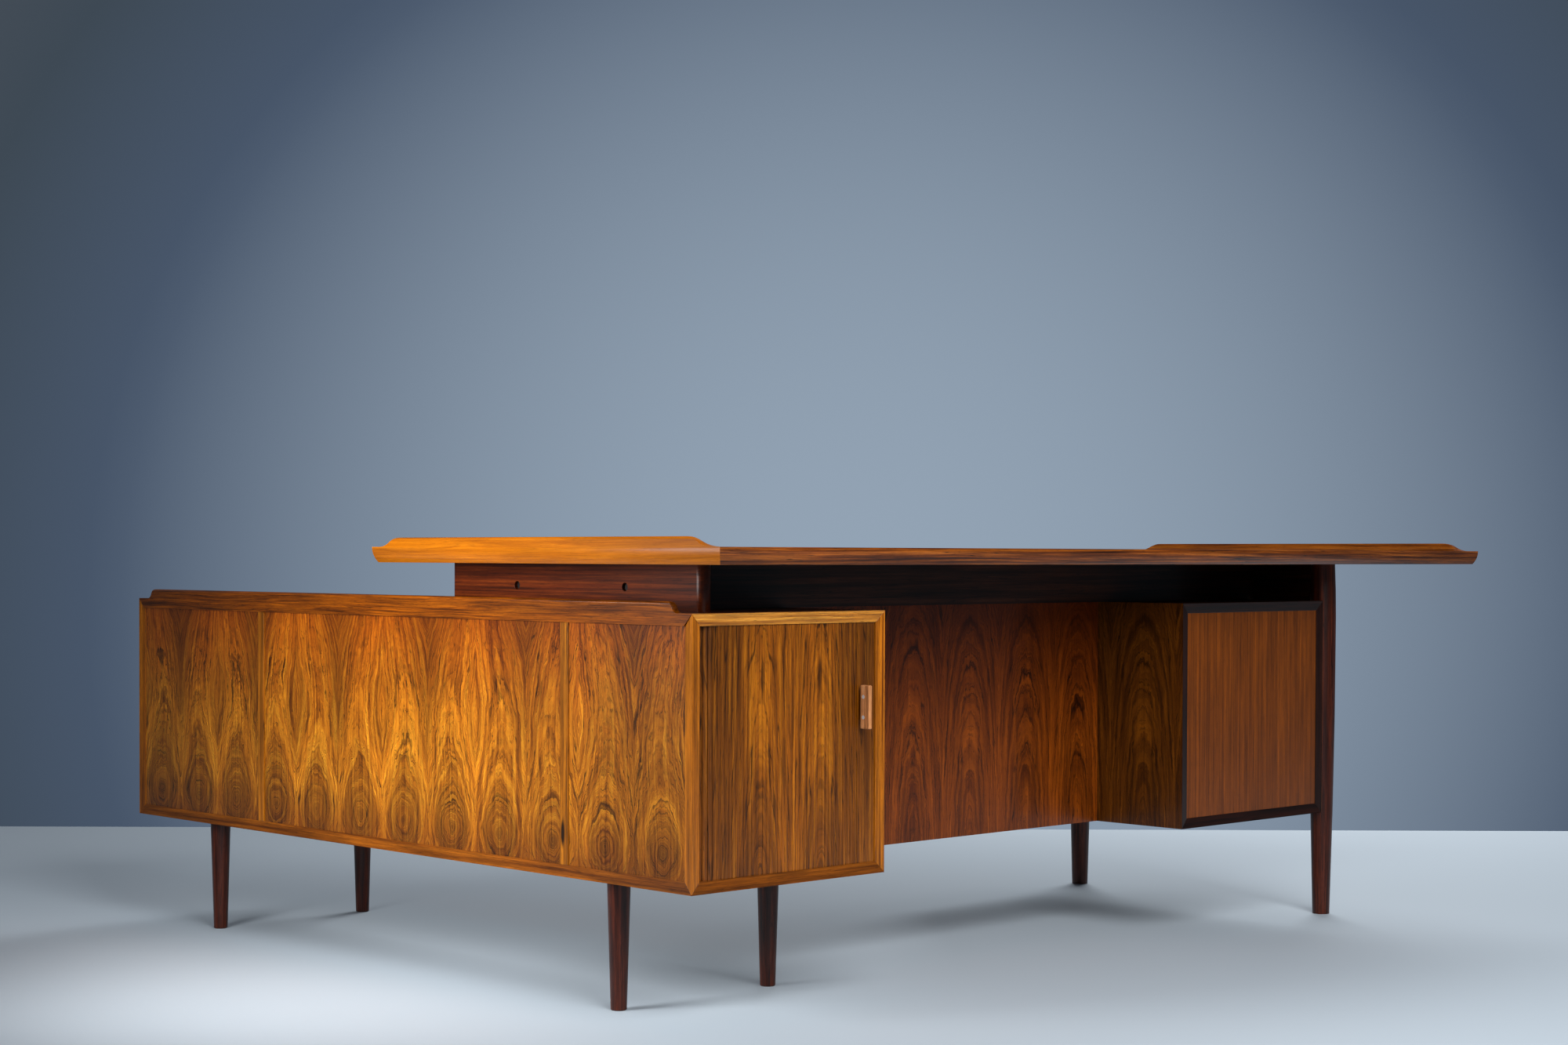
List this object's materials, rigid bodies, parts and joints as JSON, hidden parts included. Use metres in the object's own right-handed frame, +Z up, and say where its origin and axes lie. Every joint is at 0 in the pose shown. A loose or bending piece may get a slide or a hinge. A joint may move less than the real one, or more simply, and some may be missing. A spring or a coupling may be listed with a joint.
{
  "type": "executive desk",
  "caption": "L-shaped executive desk in rosewood: raised-end top on a riser and turned legs, hanging drawer pedestal, modesty panel, and a low return with tambour, sliding doors and drawers.",
  "frame": {"origin": "on the floor, in the middle of the overall footprint", "axes": "+X along the desk top away from the return, +Y from the visitor's side to the user's side, +Z up"},
  "size_m": [2.14, 1.702, 0.751],
  "materials": {
    "veneer_flame": "gloss lacquer",
    "lipping": "gloss lacquer",
    "rosewood_dark": "gloss lacquer",
    "veneer_red": "gloss lacquer",
    "veneer_top": "gloss lacquer",
    "veneer_straight": "gloss lacquer",
    "tambour": "gloss lacquer",
    "drawer_wood": "satin",
    "grip_wood": "satin",
    "alloy": "satin",
    "steel": "satin"
  },
  "bodies": {
    "desk_frame": {"desk_top_panel": "veneer_top", "return_top": "veneer_top", "desk_left_lip": "lipping", "desk_right_lip": "lipping", "return_lip_band": "lipping", "return_corner_posts": "lipping", "return_top_rails": "lipping", "return_bottom_rails": "lipping", "return_divider_strips": "lipping", "desk_visitor_edge": "rosewood_dark", "desk_user_edge": "rosewood_dark", "desk_leg_visitor": "rosewood_dark", "desk_leg_user": "rosewood_dark", "return_leg_near_outer": "rosewood_dark", "return_leg_near_user": "rosewood_dark", "return_leg_far_outer": "rosewood_dark", "return_leg_far_user": "rosewood_dark", "apron_rail": "rosewood_dark", "inner_rail": "rosewood_dark", "leg_cross_rail": "rosewood_dark", "pedestal_visitor_frame": "rosewood_dark", "pedestal_user_frame": "rosewood_dark", "return_bottom": "rosewood_dark", "riser_board": "veneer_red", "modesty_panel": "veneer_red", "pedestal_inner_side": "veneer_red", "pedestal_outer_side": "veneer_red", "pedestal_top": "veneer_red", "pedestal_bottom": "veneer_red", "return_far_end_panel": "veneer_red", "return_user_fixed_panel": "veneer_red", "return_outer_panel_near": "veneer_flame", "return_outer_panel_middle": "veneer_flame", "return_outer_panel_far": "veneer_flame", "pedestal_visitor_panel": "veneer_straight", "return_partitions": "drawer_wood", "return_shelf": "drawer_wood", "tambour_lining": "drawer_wood", "drawer_runners": "drawer_wood", "riser_screws": "steel"},
    "tambour": {"tambour_lead_stile": "tambour", "tambour_slats": "tambour", "pull_bracket": "alloy", "pull_grip": "grip_wood", "pull_screws": "steel"},
    "sliding_door_near": {"sliding_door_near": "veneer_flame"},
    "sliding_door_far": {"sliding_door_far": "veneer_flame"},
    "pedestal_drawer_1": {"pedestal_drawer_1_front": "veneer_straight", "pedestal_drawer_1_box": "drawer_wood"},
    "pedestal_drawer_2": {"pedestal_drawer_2_front": "veneer_straight", "pedestal_drawer_2_box": "drawer_wood"},
    "pedestal_drawer_3": {"pedestal_drawer_3_front": "veneer_straight", "pedestal_drawer_3_box": "drawer_wood"},
    "return_drawer_1": {"return_drawer_1_front": "veneer_straight", "return_drawer_1_box": "drawer_wood"},
    "return_drawer_2": {"return_drawer_2_front": "veneer_straight", "return_drawer_2_box": "drawer_wood"},
    "return_drawer_3": {"return_drawer_3_front": "veneer_straight", "return_drawer_3_box": "drawer_wood"}
  },
  "joints": [
    {"name": "tambour_slide", "type": "slide", "parent": "desk_frame", "child": "tambour", "axis": [-1, 0, 0], "range_m": [0, 0.26], "deforming": ["tambour_slats"]},
    {"name": "door_near_slide", "type": "slide", "parent": "desk_frame", "child": "sliding_door_near", "axis": [0, 1, 0], "range_m": [0, 0.42]},
    {"name": "door_far_slide", "type": "slide", "parent": "desk_frame", "child": "sliding_door_far", "axis": [0, 1, 0], "range_m": [-0.42, 0]},
    {"name": "pedestal_drawer_1_slide", "type": "slide", "parent": "desk_frame", "child": "pedestal_drawer_1", "axis": [0, 1, 0], "range_m": [0, 0.45]},
    {"name": "pedestal_drawer_2_slide", "type": "slide", "parent": "desk_frame", "child": "pedestal_drawer_2", "axis": [0, 1, 0], "range_m": [0, 0.45]},
    {"name": "pedestal_drawer_3_slide", "type": "slide", "parent": "desk_frame", "child": "pedestal_drawer_3", "axis": [0, 1, 0], "range_m": [0, 0.45]},
    {"name": "return_drawer_1_slide", "type": "slide", "parent": "desk_frame", "child": "return_drawer_1", "axis": [1, 0, 0], "range_m": [0, 0.26]},
    {"name": "return_drawer_2_slide", "type": "slide", "parent": "desk_frame", "child": "return_drawer_2", "axis": [1, 0, 0], "range_m": [0, 0.26]},
    {"name": "return_drawer_3_slide", "type": "slide", "parent": "desk_frame", "child": "return_drawer_3", "axis": [1, 0, 0], "range_m": [0, 0.26]}
  ]
}
